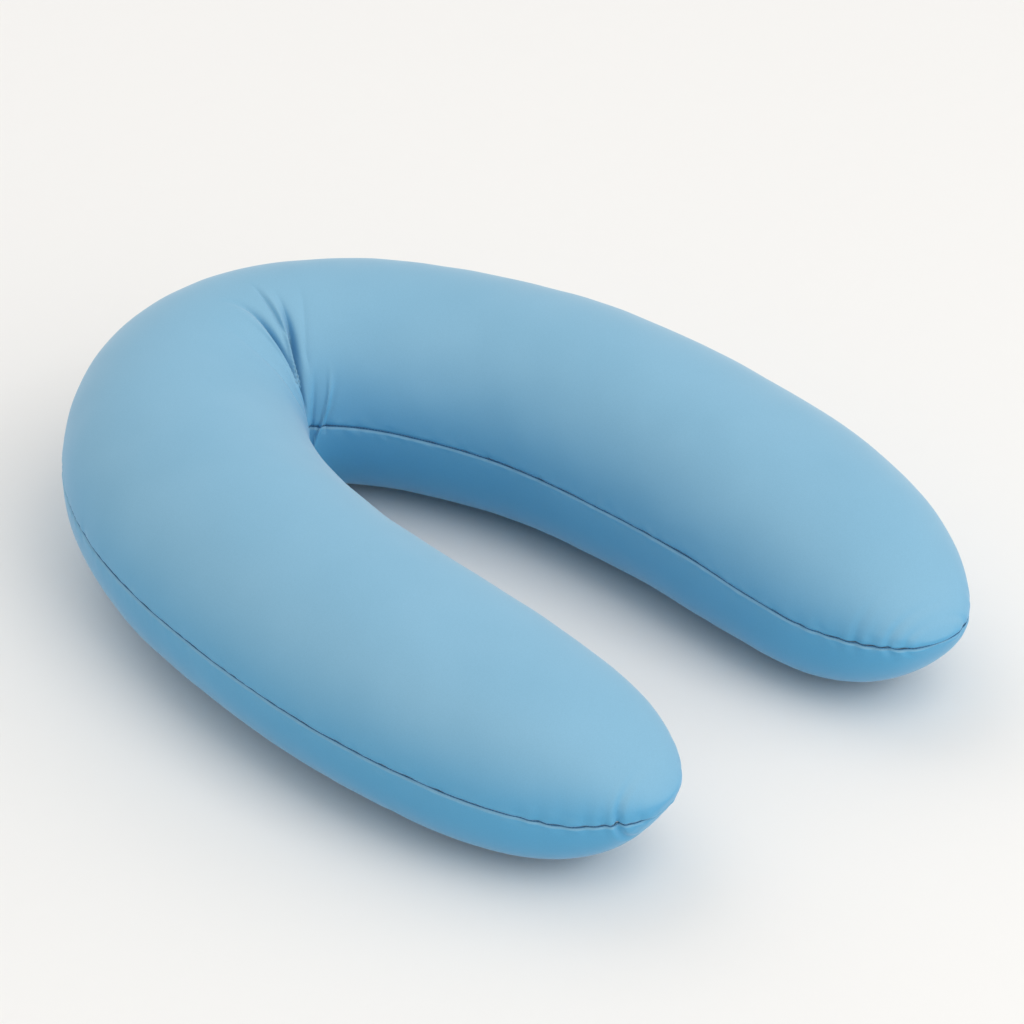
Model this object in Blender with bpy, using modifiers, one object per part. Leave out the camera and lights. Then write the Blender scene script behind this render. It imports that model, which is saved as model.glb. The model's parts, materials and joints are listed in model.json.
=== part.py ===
"""U-shaped bead-filled support cushion with a zipped jersey cover, in metres, +Z up.

The cushion lies flat. The crown of the U is at +Y and the two arms run to -Y. The
origin is the centre of the bounding box's bottom face.
"""

import math

import bmesh
import bpy
from mathutils import Matrix

# Cushion, driving dimensions.
HALF_LENGTH = 0.8333            # middle of the crown to an arm's tip, along the middle
CROWN_HALF_WIDTH = 0.1092
ARM_HALF_WIDTH = 0.1138
END_HALF_WIDTH = 0.1149
HEIGHT = 0.2034                 # full thickness where the arms start
WIDEST_HEIGHT = 0.0986          # height of the widest line at the crown
WIDEST_DROP = 0.0047            # how far that line sinks towards the tips
CROWN_HEIGHT_SHARE = 0.9995     # upper half's thickness at the crown
TIP_HEIGHT_SHARE = 0.7000       # and at the tips
TIP_SHARE = 0.3489              # share of the half length that closes to the tip
TIP_ROUND = (2.4055, 2.1525)    # plan shape of the closing
TIP_ROUND_UP = (4.9641, 1.3011)  # side shape of the closing
TOP_SQUARENESS = 2.0235
UNDER_SQUARENESS = 2.2342
UNDER_FLATTENING = 1.0253       # over 1 gives the flat strip it rests on

# Bend of the middle line, as turn over the half length.
CROWN_BEND = 8.0263
ARM_BEND = 0.7565
BEND_REACH = 0.1640
BEND_SHARPNESS = 1.0622
TIP_STRAIGHTENING = 0.4401
BEND_PINCH = 0.14               # share the inner side gives up where the crown bends
BEND_PINCH_REACH = 0.14

# Seam between the two panels, in degrees below the widest line: at the crown, and
# what is added by the tip. It is a little above that line on the crown.
OUTER_SEAM = (-2.00, 13.45)
INNER_SEAM = (-2.07, 1.00)

# Where along an arm its size changes, as shares of the half length.
ARM_START = 0.3                 # the crown has turned into an arm
END_START = 0.6                 # the arm starts to grow to its end's width
FALL_START = 0.4                # the arm starts to get thinner
FALL_POWER = 1.5

# Sections along one half, and angles of the points around them. The under side's
# angles put edges where the flat strip ends.
CROWN_SECTIONS = 9
ARM_SECTIONS = 3
TIP_SECTIONS = 8
UPPER_ANGLES = (18, 36, 54, 72, 90, 108, 126, 144, 162)
UNDER_ANGLES = (205, 225, 240, 255, 270, 285, 300, 315, 332)

# Layers, from the outside in.
COVER_THICKNESS = 0.0015
LINER_DEPTH = 0.0024
LINER_THICKNESS = 0.0008
FILL_DEPTH = 0.0039
LINER_ZIP_RECESS = 0.0035       # extra depth of the liner behind the zip
FILL_ZIP_RECESS = 0.0070        # extra depth of the filling behind the zips
SEAM_GAP = 0.0020
THREAD_RADIUS = 0.0006
THREAD_DEPTH = 0.0008
THREAD_CLEARANCE = 0.0015       # from a zip's end to the start of the thread

# Where the layers behind the zips are pressed in: full up to the first value, and
# gone after the second more. Shares along the cushion, degrees around it.
RECESS_ALONG = (0.20, 0.14)
RECESS_AROUND = (14, 40)

# Cover zip, on an arc around the back of the crown.
ZIP_HALF_ANGLE = 38.0
ZIP_FIT_SHARES = (0.02, 0.095)   # places on the crown that the zip's arc passes through
ZIP_SLOT_HALF = 0.0090
SLOT_DEPTH = 0.016
SLOT_END_ANGLE = 0.1            # how far a slot goes past its zip, in degrees
TAPE_EDGE = 0.0087
TAPE_INSIDE = 0.0030
TAPE_THICKNESS = 0.0006
COIL_RADIUS = 0.00095
COIL_OFFSET = 0.0017
COIL_HALF_ANGLE = 36.6
STOP_LENGTH = 0.0030
STOP_HALF_DEPTH = 0.0011
STOP_HALF_HEIGHT = 0.0026
SLIDER_ANGLE = 35.0
SLIDER_SIZE = (0.0120, 0.0052, 0.0094)
SLIDER_WEB = 0.00035            # half thickness of the web between the plates
TAPE_SLIT = 0.0007
COIL_CHANNEL = (0.00135, 0.0031)
CUT_OVERSHOOT = 1.3             # length of the slider's cuts over its own length
SLIDER_ROUNDING = 0.12          # bevel over the slider's smallest size
STOP_BEVEL = 0.0003
BRIDGE_SIZE = (0.0013, 0.0065)
BRIDGE_WINDOW = 0.0044
BRIDGE_SUNK = 0.0005            # how far the bridge reaches into the plate
PIN_HEIGHT = 0.0049             # pull tab's axis above the zip's arc
EYE_RADIUS = 0.0020
EYE_HOLE_RADIUS = 0.00125
EYE_WIDTH = 0.0038
PULL_SIZE = (0.0240, 0.0013, 0.0070)
PULL_WINDOW = (0.0080, 0.0040, 0.0030)
PULL_TILT = 7.0
PULL_BEVEL = 0.0005
PULL_START = 0.7                # where the tab starts inside its eye, over the eye's radius
PULL_WINDOW_PLACE = 0.9         # window's middle from the tab's end, over its length
ROUND_SIDES = 20

# Safety zip in the liner, on the same centre.
LINER_ZIP_DEPTH = 0.0062        # below the cover zip's arc
LINER_ZIP_HALF_ANGLE = 14.0
LINER_SLOT_HALF = 0.0062
LINER_TAPE_EDGE = 0.0059
LINER_TAPE_INSIDE = 0.0021
LINER_COIL_RADIUS = 0.0006
LINER_COIL_OFFSET = 0.0012
LINER_SLIDER_ANGLE = 12.0
LINER_SLIDER_SIZE = (0.0080, 0.0034, 0.0064)
LINER_SLIDER_WEB = 0.0002
LINER_COIL_CHANNEL = (0.0010, 0.0023)

# Care label, hanging from the outer seam beside the zip.
LABEL_SHARE = 0.27
LABEL_SIZE = (0.030, 0.042)
LABEL_THICKNESS = 0.0005
LABEL_STANDOFF = 0.0012

GAP = 0.0003
MERGE_DISTANCE = 0.0001
STEPS_ALONG = 400               # steps used to lay out the middle line
ZIP_STEPS = 24                  # straight pieces in the cover zip's arc
LINER_ZIP_STEPS = 12
SMOOTH_ANGLE = 35.0
PANEL_SMOOTH_ANGLE = 60.0


def smooth(t):
    """Ease from 0 to 1 as t goes from 0 to 1."""
    t = min(max(t, 0.0), 1.0)
    return t * t * (3 - 2 * t)


def middle_line():
    """Points and headings along the middle line, for the half at +X."""
    x, y, heading = 0.0, 0.0, 0.0
    points = [(x, y, heading)]
    step = 1.0 / STEPS_ALONG
    for i in range(STEPS_ALONG):
        s = (i + 0.5) * step
        fade = math.exp(-((s / BEND_REACH) ** BEND_SHARPNESS))
        bend = ARM_BEND + (CROWN_BEND - ARM_BEND) * fade - TIP_STRAIGHTENING * s * s
        turned = heading - bend * step
        mean = (heading + turned) / 2
        x += HALF_LENGTH * step * math.cos(mean)
        y += HALF_LENGTH * step * math.sin(mean)
        heading = turned
        points.append((x, y, heading))
    return points


MIDDLE = middle_line()


def middle_at(s):
    """Point and heading on the middle line at share s of the half length."""
    place = min(max(s, 0.0), 1.0) * STEPS_ALONG
    i = min(int(place), STEPS_ALONG - 1)
    f = place - i
    return [a + (b - a) * f for a, b in zip(MIDDLE[i], MIDDLE[i + 1])]


def half_width(s):
    """Half width of the tube before the tip closes."""
    rise = CROWN_HALF_WIDTH + (ARM_HALF_WIDTH - CROWN_HALF_WIDTH) * smooth(s / ARM_START)
    end = smooth((s - END_START) / (1 - END_START))
    return rise + (END_HALF_WIDTH - ARM_HALF_WIDTH) * end


def closing(s, shape):
    """Share of the full size left at s, where shape gives the two powers."""
    t = min(max((s - (1 - TIP_SHARE)) / TIP_SHARE, 0.0), 1.0)
    return max(1 - t ** shape[0], 0.0) ** (1 / shape[1])


def tip_blend(s):
    """0 on the crown, rising to 1 at the tip."""
    return min(max((s - ARM_START) / (1 - ARM_START), 0.0), 1.0) ** 2


def height_share(s):
    """How the upper half's thickness changes along the cushion."""
    crown = (CROWN_HEIGHT_SHARE - 1) * (1 - smooth(s / FALL_START))
    fall = min(max((s - FALL_START) / (1 - FALL_START), 0.0), 1.0) ** FALL_POWER
    return 1 + crown + (TIP_HEIGHT_SHARE - 1) * fall


def pinch(s, across):
    """Share of the width left on the inner side of the crown's bend."""
    if across >= 0:
        return 1.0
    return 1 - BEND_PINCH * (1 - smooth(s / BEND_PINCH_REACH)) * across * across


def zip_recess(s, angle):
    """1 behind the zip, easing to 0 away from it."""
    away = abs((angle + 180) % 360 - 180)
    along = 1 - smooth((s - RECESS_ALONG[0]) / RECESS_ALONG[1])
    around = 1 - smooth((away - RECESS_AROUND[0]) / RECESS_AROUND[1])
    return along * around


def surface(s, angle, depth=0.0, recess=0.0, upper=True):
    """Point on the cushion's skin, depth inside it, at an angle around the section.

    Angle 0 is the outer side of the U, 90 the top, 180 the inner side, in degrees.
    """
    depth_here = depth + recess * zip_recess(s, angle)
    x, y, heading = middle_at(s * (1 - depth / HALF_LENGTH))
    turn = math.radians(angle)
    c, sn = math.cos(turn), math.sin(turn)
    power = TOP_SQUARENESS if sn >= 0 else UNDER_SQUARENESS
    r = (abs(c) ** power + abs(sn) ** power) ** (-1 / power)
    side = (half_width(s) * pinch(s, c) - depth_here) * closing(s, TIP_ROUND) * r * c
    widest = WIDEST_HEIGHT - WIDEST_DROP * tip_blend(s)
    if sn >= 0:
        full = (HEIGHT - SEAM_GAP - widest) * height_share(s) - depth
    else:
        full = widest * UNDER_FLATTENING - depth
    z = widest + full * closing(s, TIP_ROUND_UP) * r * sn
    z = max(z, depth) + (SEAM_GAP if upper else 0.0)
    return (x - math.sin(heading) * side, y + math.cos(heading) * side + SHIFT, z)


def seam_angles(s):
    """Angles of the outer and the inner seam at share s."""
    outer = -(OUTER_SEAM[0] + OUTER_SEAM[1] * tip_blend(s))
    inner = 180 + INNER_SEAM[0] + INNER_SEAM[1] * tip_blend(s)
    return outer, inner


def stations():
    """Shares of the half length where sections stand, closer on the crown and tip."""
    arm_end = 1 - TIP_SHARE
    arm_step = (arm_end - ARM_START) / ARM_SECTIONS
    tip_turn = math.pi / 2 / TIP_SECTIONS
    crown = [ARM_START * i / CROWN_SECTIONS for i in range(CROWN_SECTIONS)]
    arm = [ARM_START + arm_step * i for i in range(ARM_SECTIONS)]
    tip = [arm_end + TIP_SHARE * math.sin(tip_turn * i) for i in range(TIP_SECTIONS + 1)]
    return crown + arm + tip


def upper_angles(s):
    """Angles across the upper panel, seam to seam."""
    outer, inner = seam_angles(s)
    return [outer, *UPPER_ANGLES, inner]


def under_angles(s):
    """Angles across the lower panel, seam to seam."""
    outer, inner = seam_angles(s)
    return [inner, *UNDER_ANGLES, outer + 360]


def middle_y():
    """Y halfway between the back of the crown and the tips."""
    every = [surface(s, a)[1] for s in stations() for a in upper_angles(s)]
    return (max(every) + min(every)) / 2


# The middle line starts at the crown, and SHIFT moves the box's centre to y = 0.
SHIFT = 0.0
SHIFT = -middle_y()


def seam_point(s, inner=False, depth=0.0, recess=0.0):
    """Point in the middle of the gap between the two panels."""
    angle = seam_angles(s)[1 if inner else 0]
    x, y, z = surface(s, angle, depth, recess, upper=False)
    return x, y, z + SEAM_GAP / 2


def zip_circle():
    """Centre's y and radius of the arc that follows the crown's outer seam."""
    (x1, y1, z), (x2, y2, _) = [
        seam_point(s, depth=COVER_THICKNESS / 2) for s in ZIP_FIT_SHARES
    ]
    centre = (x2 * x2 + y2 * y2 - x1 * x1 - y1 * y1) / (2 * (y2 - y1))
    return centre, math.hypot(x1, y1 - centre), z


ZIP_CENTRE_Y, ZIP_RADIUS, ZIP_Z = zip_circle()


def clear_scene():
    """Start from an empty scene."""
    for obj in list(bpy.data.objects):
        bpy.data.objects.remove(obj, do_unlink=True)


def new_collection(name):
    """Add a collection to the scene."""
    collection = bpy.data.collections.new(name)
    bpy.context.scene.collection.children.link(collection)
    return collection


def material(name, colour, roughness, metallic=0.0):
    """Plain Principled material."""
    mat = bpy.data.materials.new(name)
    mat.use_nodes = True
    shader = mat.node_tree.nodes["Principled BSDF"]
    shader.inputs["Base Color"].default_value = (*colour, 1.0)
    shader.inputs["Roughness"].default_value = roughness
    shader.inputs["Metallic"].default_value = metallic
    mat.diffuse_color = (*colour, 1.0)
    return mat


def add_object(name, data, mat, collection):
    """Link an object that holds data and wears mat."""
    obj = bpy.data.objects.new(name, data)
    if mat:
        data.materials.append(mat)
    collection.objects.link(obj)
    return obj


def mesh_object(name, bm, mat, collection, smooth_angle=SMOOTH_ANGLE):
    """Turn a bmesh into an object, smooth but for its sharp edges."""
    mesh = bpy.data.meshes.new(name)
    bm.to_mesh(mesh)
    bm.free()
    mesh.shade_smooth()
    mesh.set_sharp_from_angle(angle=math.radians(smooth_angle))
    return add_object(name, mesh, mat, collection)


def make_cutter(obj):
    """Mark an object as a cutter."""
    obj.hide_render = True
    obj.display_type = "WIRE"
    return obj


def mirror(obj):
    """Mirror a half that is open at x = 0."""
    mod = obj.modifiers.new("Mirror", "MIRROR")
    mod.use_axis = (True, False, False)
    mod.use_clip = True
    mod.merge_threshold = MERGE_DISTANCE


def solidify(obj, thickness, offset=-1.0):
    """Give an open surface its thickness."""
    mod = obj.modifiers.new("Solidify", "SOLIDIFY")
    mod.thickness = thickness
    mod.offset = offset
    mod.use_even_offset = True


def boolean(obj, other, operation="DIFFERENCE"):
    """Cut obj with other, or join them."""
    mod = obj.modifiers.new(other.name, "BOOLEAN")
    mod.operation = operation
    mod.solver = "EXACT"
    mod.object = other


def bevel(obj, width, segments=2):
    """Round an object's edges."""
    mod = obj.modifiers.new("Bevel", "BEVEL")
    mod.width = width
    mod.segments = segments
    mod.limit_method = "ANGLE"


def loft(rows, close_across):
    """Triangles between rows of points, closed to the last row's single point."""
    bm = bmesh.new()
    made = [[bm.verts.new(p) for p in row] for row in rows[:-1]]
    tip = bm.verts.new(rows[-1][0])
    count = len(made[0])
    spans = count if close_across else count - 1
    for j in range(spans):
        k = (j + 1) % count
        for first, second in zip(made, made[1:]):
            bm.faces.new((first[j], first[k], second[k]))
            bm.faces.new((first[j], second[k], second[j]))
        bm.faces.new((made[-1][j], made[-1][k], tip))
    return bm


def half_panel(name, angles, upper, depth, thickness, recess, mat, collection):
    """One panel of a shell: half of it lofted, mirrored and given its thickness."""
    rows = [
        [surface(s, a, depth, recess, upper) for a in angles(s)] for s in stations()
    ]
    for point in range(len(rows[0])):
        rows[0][point] = (0.0, *rows[0][point][1:])
    bm = loft(rows, close_across=False)
    obj = mesh_object(name, bm, mat, collection, PANEL_SMOOTH_ANGLE)
    mirror(obj)
    solidify(obj, thickness)
    return obj


def fill_body(name, depth, recess, mat, collection):
    """Solid filling: half of it lofted all round, then mirrored."""
    rows = []
    for s in stations():
        over = [surface(s, a, depth, recess, True) for a in upper_angles(s)]
        under = [surface(s, a, depth, recess, False) for a in under_angles(s)]
        rows.append(over + under)
    for point in range(len(rows[0])):
        rows[0][point] = (0.0, *rows[0][point][1:])
    bm = loft(rows, close_across=True)
    obj = mesh_object(name, bm, mat, collection, PANEL_SMOOTH_ANGLE)
    mirror(obj)
    return obj


def poly_tube(name, points, radius, mat, collection):
    """Wire of round section through points."""
    curve = bpy.data.curves.new(name, "CURVE")
    curve.dimensions = "3D"
    curve.bevel_depth = radius
    curve.bevel_resolution = 1
    curve.use_fill_caps = True
    spline = curve.splines.new("POLY")
    spline.points.add(len(points) - 1)
    for target, point in zip(spline.points, points):
        target.co = (*point, 1.0)
    return add_object(name, curve, mat, collection)


def seam_path(start_share, depth, recess):
    """Seam line from one end of the zip round both arms to its other end."""
    shares = [start_share] + [s for s in stations() if s > start_share + 0.02]
    outer = [seam_point(s, False, depth, recess) for s in shares]
    inner = [seam_point(s, True, depth, recess) for s in reversed(stations()[:-1])]
    right = outer + inner
    right[-1] = (0.0, *right[-1][1:])
    left = [(-x, y, z) for x, y, z in reversed(right[:-1])]
    return right + left


def share_at_zip_angle(angle):
    """Share of the half length where the outer seam lies at this zip angle."""
    low, high = 0.0, 0.5
    for _ in range(40):
        mid = (low + high) / 2
        x, y, _ = seam_point(mid)
        if math.degrees(math.atan2(x, y - ZIP_CENTRE_Y)) < angle:
            low = mid
        else:
            high = mid
    return low


def on_arc(angle, radius, z=0.0):
    """Point on a circle about the zip's centre; angle 0 is +Y, positive to +X."""
    turn = math.radians(angle)
    return radius * math.sin(turn), ZIP_CENTRE_Y + radius * math.cos(turn), z


def arc_band(name, radius, low, high, thickness, span, mat, collection, steps=ZIP_STEPS):
    """Upright band that follows the zip's arc, thickness split about radius."""
    bm = bmesh.new()
    start, end = span
    pairs = []
    for i in range(steps + 1):
        x, y, _ = on_arc(start + (end - start) * i / steps, radius)
        pairs.append((bm.verts.new((x, y, low)), bm.verts.new((x, y, high))))
    for (a, b), (c, d) in zip(pairs, pairs[1:]):
        bm.faces.new((a, c, d, b))
    obj = mesh_object(name, bm, mat, collection)
    solidify(obj, thickness, offset=0.0)
    return obj


def arc_wire(name, radius, z, span, wire_radius, mat, collection, steps=ZIP_STEPS):
    """Round bead that follows the zip's arc."""
    start, end = span
    points = [on_arc(start + (end - start) * i / steps, radius, z) for i in range(steps + 1)]
    return poly_tube(name, points, wire_radius, mat, collection)


def box(name, size, centre, mat, collection):
    """Box with its size applied to the mesh."""
    bm = bmesh.new()
    bmesh.ops.create_cube(bm, size=1.0)
    bmesh.ops.scale(bm, vec=size, verts=bm.verts)
    bmesh.ops.translate(bm, vec=centre, verts=bm.verts)
    return mesh_object(name, bm, mat, collection)


def upright_cylinder(name, radius, length, collection):
    """Cylinder along Z, at the origin."""
    bm = bmesh.new()
    bmesh.ops.create_cone(
        bm, cap_ends=True, segments=ROUND_SIDES, radius1=radius, radius2=radius, depth=length
    )
    return mesh_object(name, bm, None, collection)


def place_on_arc(obj, angle, radius, parent=None):
    """Put an object on the arc, its +Y pointing out of the cushion."""
    here = on_arc(angle, radius, ZIP_Z)
    obj.location = here
    obj.rotation_euler = (0.0, 0.0, -math.radians(angle))
    if parent:
        obj.parent = parent
        obj.matrix_parent_inverse = Matrix.Translation(parent.location).inverted()


def axis_empty(name, location, collection):
    """Empty on a joint's axis."""
    empty = bpy.data.objects.new(name, None)
    empty.location = location
    empty.empty_display_size = 0.02
    collection.objects.link(empty)
    return empty


def slider_body(name, size, web, slit, channel, mat, parts, cutters):
    """Two plates joined by a web, with room for the coils and the tapes."""
    obj = box(name, size, (0, 0, 0), mat, parts)
    bevel(obj, min(size) * SLIDER_ROUNDING)
    made = []
    for side, sign in (("upper", 1), ("lower", -1)):
        for kind, depth, reach in (("slit", slit, size[2]), ("channel", *channel)):
            height = reach - web
            centre = (0, 0, sign * (web + height / 2))
            cut_size = (size[0] * CUT_OVERSHOOT, 2 * depth, height)
            cutter = box(f"{name}_{side}_{kind}_cut", cut_size, centre, None, cutters)
            boolean(obj, make_cutter(cutter))
            made.append(cutter)
    return obj, made


def cover_zip(mats, parts, cutters):
    """Tapes, coils, stops, slider and pull tab of the cover's zip."""
    tape, coil, metal = mats["zip_tape"], mats["zip_coil"], mats["zip_metal"]
    full = (-ZIP_HALF_ANGLE, ZIP_HALF_ANGLE)
    chain = (-COIL_HALF_ANGLE, COIL_HALF_ANGLE)
    for side, sign in (("upper", 1), ("lower", -1)):
        low, high = sorted((ZIP_Z + sign * TAPE_INSIDE, ZIP_Z + sign * TAPE_EDGE))
        arc_band(f"zip_tape_{side}", ZIP_RADIUS, low, high, TAPE_THICKNESS, full, tape, parts)
        height = ZIP_Z + sign * COIL_OFFSET
        arc_wire(f"zip_coil_{side}", ZIP_RADIUS, height, chain, COIL_RADIUS, coil, parts)
    stop_angle = COIL_HALF_ANGLE + math.degrees((STOP_LENGTH / 2 + GAP) / ZIP_RADIUS)
    half = STOP_HALF_HEIGHT - GAP
    for side, sign in (("upper", 1), ("lower", -1)):
        size = (STOP_LENGTH, 2 * STOP_HALF_DEPTH, half)
        centre = (0, 0, sign * (GAP + half / 2))
        stop = box(f"zip_top_stop_{side}", size, centre, metal, parts)
        bevel(stop, STOP_BEVEL)
        place_on_arc(stop, stop_angle, ZIP_RADIUS)
    size = (STOP_LENGTH, 2 * STOP_HALF_DEPTH, 2 * STOP_HALF_HEIGHT)
    bottom = box("zip_bottom_stop", size, (0, 0, 0), metal, parts)
    bevel(bottom, STOP_BEVEL)
    place_on_arc(bottom, -stop_angle, ZIP_RADIUS)
    axis = axis_empty("zip_travel_axis", (0, ZIP_CENTRE_Y, ZIP_Z), parts)
    zip_slider(axis, metal, parts, cutters)


def zip_slider(axis, metal, parts, cutters):
    """Slider with its bridge, and the pull tab that hangs on the bridge."""
    slider, cuts = slider_body(
        "zip_slider", SLIDER_SIZE, SLIDER_WEB, TAPE_SLIT, COIL_CHANNEL, metal, parts, cutters
    )
    bar = BRIDGE_SIZE[0]
    plate = SLIDER_SIZE[1] / 2
    top = PIN_HEIGHT + bar / 2
    bridge = box(
        "zip_slider_bridge_shape",
        (bar, top - plate + BRIDGE_SUNK, BRIDGE_SIZE[1]),
        (0, (top + plate - BRIDGE_SUNK) / 2, 0),
        None,
        cutters,
    )
    under_bar = PIN_HEIGHT - bar / 2
    window = box(
        "zip_slider_bridge_window",
        (2 * bar, under_bar - plate + 2 * BRIDGE_SUNK, BRIDGE_WINDOW),
        (0, (under_bar + plate - 2 * BRIDGE_SUNK) / 2, 0),
        None,
        cutters,
    )
    boolean(bridge, make_cutter(window))
    boolean(slider, make_cutter(bridge), "UNION")
    for piece in (slider, bridge, window, *cuts):
        place_on_arc(piece, SLIDER_ANGLE, ZIP_RADIUS, axis)
    pull_tab(metal, parts, cutters)


def pull_tab(metal, parts, cutters):
    """Flat tab with an eye round the slider's bridge; its origin is on its axis."""
    length, _, width = PULL_SIZE
    start = -EYE_RADIUS * PULL_START
    tab = box("zip_pull_tab", PULL_SIZE, (start - length / 2, 0, 0), metal, parts)
    bevel(tab, PULL_BEVEL)
    eye = upright_cylinder("zip_pull_eye_shape", EYE_RADIUS, EYE_WIDTH, cutters)
    hole = upright_cylinder("zip_pull_eye_hole", EYE_HOLE_RADIUS, 2 * width, cutters)
    window = box(
        "zip_pull_window",
        PULL_WINDOW,
        (start - length + PULL_WINDOW[0] * PULL_WINDOW_PLACE, 0, 0),
        None,
        cutters,
    )
    boolean(tab, make_cutter(eye), "UNION")
    boolean(tab, make_cutter(hole))
    boolean(tab, make_cutter(window))
    here = on_arc(SLIDER_ANGLE, ZIP_RADIUS + PIN_HEIGHT, ZIP_Z)
    turn = -math.radians(SLIDER_ANGLE) + math.radians(PULL_TILT)
    for piece in (tab, eye, hole, window):
        piece.location = here
        piece.rotation_euler = (0.0, 0.0, turn)


def liner_zip(mats, parts, cutters):
    """Short safety zip of the liner: tapes, coils and a slider with no tab."""
    radius = ZIP_RADIUS - LINER_ZIP_DEPTH
    full = (-LINER_ZIP_HALF_ANGLE, LINER_ZIP_HALF_ANGLE)
    for side, sign in (("upper", 1), ("lower", -1)):
        edges = (ZIP_Z + sign * LINER_TAPE_INSIDE, ZIP_Z + sign * LINER_TAPE_EDGE)
        low, high = sorted(edges)
        name = f"liner_zip_tape_{side}"
        arc_band(
            name, radius, low, high, TAPE_THICKNESS, full,
            mats["liner_tape"], parts, LINER_ZIP_STEPS,
        )
        height = ZIP_Z + sign * LINER_COIL_OFFSET
        arc_wire(
            f"liner_zip_coil_{side}", radius, height, full, LINER_COIL_RADIUS,
            mats["zip_coil"], parts, LINER_ZIP_STEPS,
        )
    slider, cuts = slider_body(
        "liner_zip_slider", LINER_SLIDER_SIZE, LINER_SLIDER_WEB, TAPE_SLIT,
        LINER_COIL_CHANNEL, mats["zip_metal"], parts, cutters,
    )
    axis = axis_empty("liner_zip_travel_axis", (0, ZIP_CENTRE_Y, ZIP_Z), parts)
    for piece in (slider, *cuts):
        place_on_arc(piece, LINER_SLIDER_ANGLE, radius, axis)


def slot_cutter(name, radius, half_height, zip_half_angle, collection):
    """Curved block that opens a panel's edges for a zip."""
    low, high = ZIP_Z - half_height, ZIP_Z + half_height
    half_angle = zip_half_angle + SLOT_END_ANGLE
    span = (-half_angle, half_angle)
    cutter = arc_band(name, radius, low, high, SLOT_DEPTH, span, None, collection)
    return make_cutter(cutter)


def cover_panels(mats, parts, slot):
    """Upper and lower panel of the outer cover."""
    fabric = mats["jersey"]
    top = half_panel(
        "cover_top_panel", upper_angles, True, 0.0, COVER_THICKNESS, 0.0, fabric, parts
    )
    base = half_panel(
        "cover_bottom_panel", under_angles, False, 0.0, COVER_THICKNESS, 0.0, fabric, parts
    )
    for panel in (top, base):
        boolean(panel, slot)


def liner_panels(mats, parts, slot):
    """Upper and lower panel of the liner that holds the beads."""
    cloth = mats["liner"]
    for name, angles, upper in (
        ("liner_top_panel", upper_angles, True),
        ("liner_bottom_panel", under_angles, False),
    ):
        panel = half_panel(
            name, angles, upper, LINER_DEPTH, LINER_THICKNESS, LINER_ZIP_RECESS, cloth, parts
        )
        boolean(panel, slot)


def seam_threads(mats, parts):
    """Stitching that joins the panels, from one end of a zip round to the other."""
    clear = math.degrees(THREAD_CLEARANCE / ZIP_RADIUS)
    start = share_at_zip_angle(ZIP_HALF_ANGLE + clear)
    path = seam_path(start, THREAD_DEPTH, 0.0)
    poly_tube("cover_seam_thread", path, THREAD_RADIUS, mats["thread"], parts)
    start = share_at_zip_angle(LINER_ZIP_HALF_ANGLE + clear)
    path = seam_path(start, LINER_DEPTH + LINER_THICKNESS / 2, LINER_ZIP_RECESS)
    poly_tube("liner_seam_thread", path, THREAD_RADIUS, mats["liner"], parts)


def care_label(mats, parts):
    """Blank label that hangs from the outer seam."""
    width, drop = LABEL_SIZE
    x, y, z = seam_point(LABEL_SHARE)
    heading = middle_at(LABEL_SHARE)[2]
    label = box(
        "care_label", (width, LABEL_THICKNESS, drop), (0, 0, -drop / 2), mats["label"], parts
    )
    out = LABEL_STANDOFF + LABEL_THICKNESS / 2
    label.location = (x - math.sin(heading) * out, y + math.cos(heading) * out, z)
    label.rotation_euler = (0.0, 0.0, heading)


def make_materials():
    """One material for each kind of surface."""
    return {
        "jersey": material("jersey_blue", (0.27, 0.49, 0.66), 0.9),
        "thread": material("thread_blue", (0.16, 0.33, 0.50), 0.8),
        "zip_tape": material("zip_tape_blue", (0.24, 0.44, 0.60), 0.85),
        "zip_coil": material("zip_coil_nylon", (0.62, 0.70, 0.76), 0.4),
        "zip_metal": material("zip_nickel", (0.62, 0.62, 0.60), 0.3, 1.0),
        "liner": material("liner_cotton", (0.86, 0.86, 0.83), 0.9),
        "liner_tape": material("liner_tape_white", (0.80, 0.80, 0.78), 0.85),
        "fill": material("bead_white", (0.93, 0.93, 0.92), 0.7),
        "label": material("label_white", (0.88, 0.88, 0.86), 0.7),
    }


def build():
    """Make the whole cushion."""
    clear_scene()
    parts = new_collection("support_cushion")
    cutters = new_collection("support_cushion_cutters")
    mats = make_materials()
    cover_slot = slot_cutter(
        "cover_zip_slot", ZIP_RADIUS, ZIP_SLOT_HALF, ZIP_HALF_ANGLE, cutters
    )
    liner_radius = ZIP_RADIUS - LINER_ZIP_DEPTH
    liner_slot = slot_cutter(
        "liner_zip_slot", liner_radius, LINER_SLOT_HALF, LINER_ZIP_HALF_ANGLE, cutters
    )
    cover_panels(mats, parts, cover_slot)
    liner_panels(mats, parts, liner_slot)
    fill_body("bead_fill", FILL_DEPTH, FILL_ZIP_RECESS, mats["fill"], parts)
    seam_threads(mats, parts)
    cover_zip(mats, parts, cutters)
    liner_zip(mats, parts, cutters)
    care_label(mats, parts)


build()
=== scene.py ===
"""Looks of the U-shaped support cushion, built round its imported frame. Metres, +Z up."""

import json
import math

import bpy
import numpy as np
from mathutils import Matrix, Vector
from mathutils.kdtree import KDTree


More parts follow.
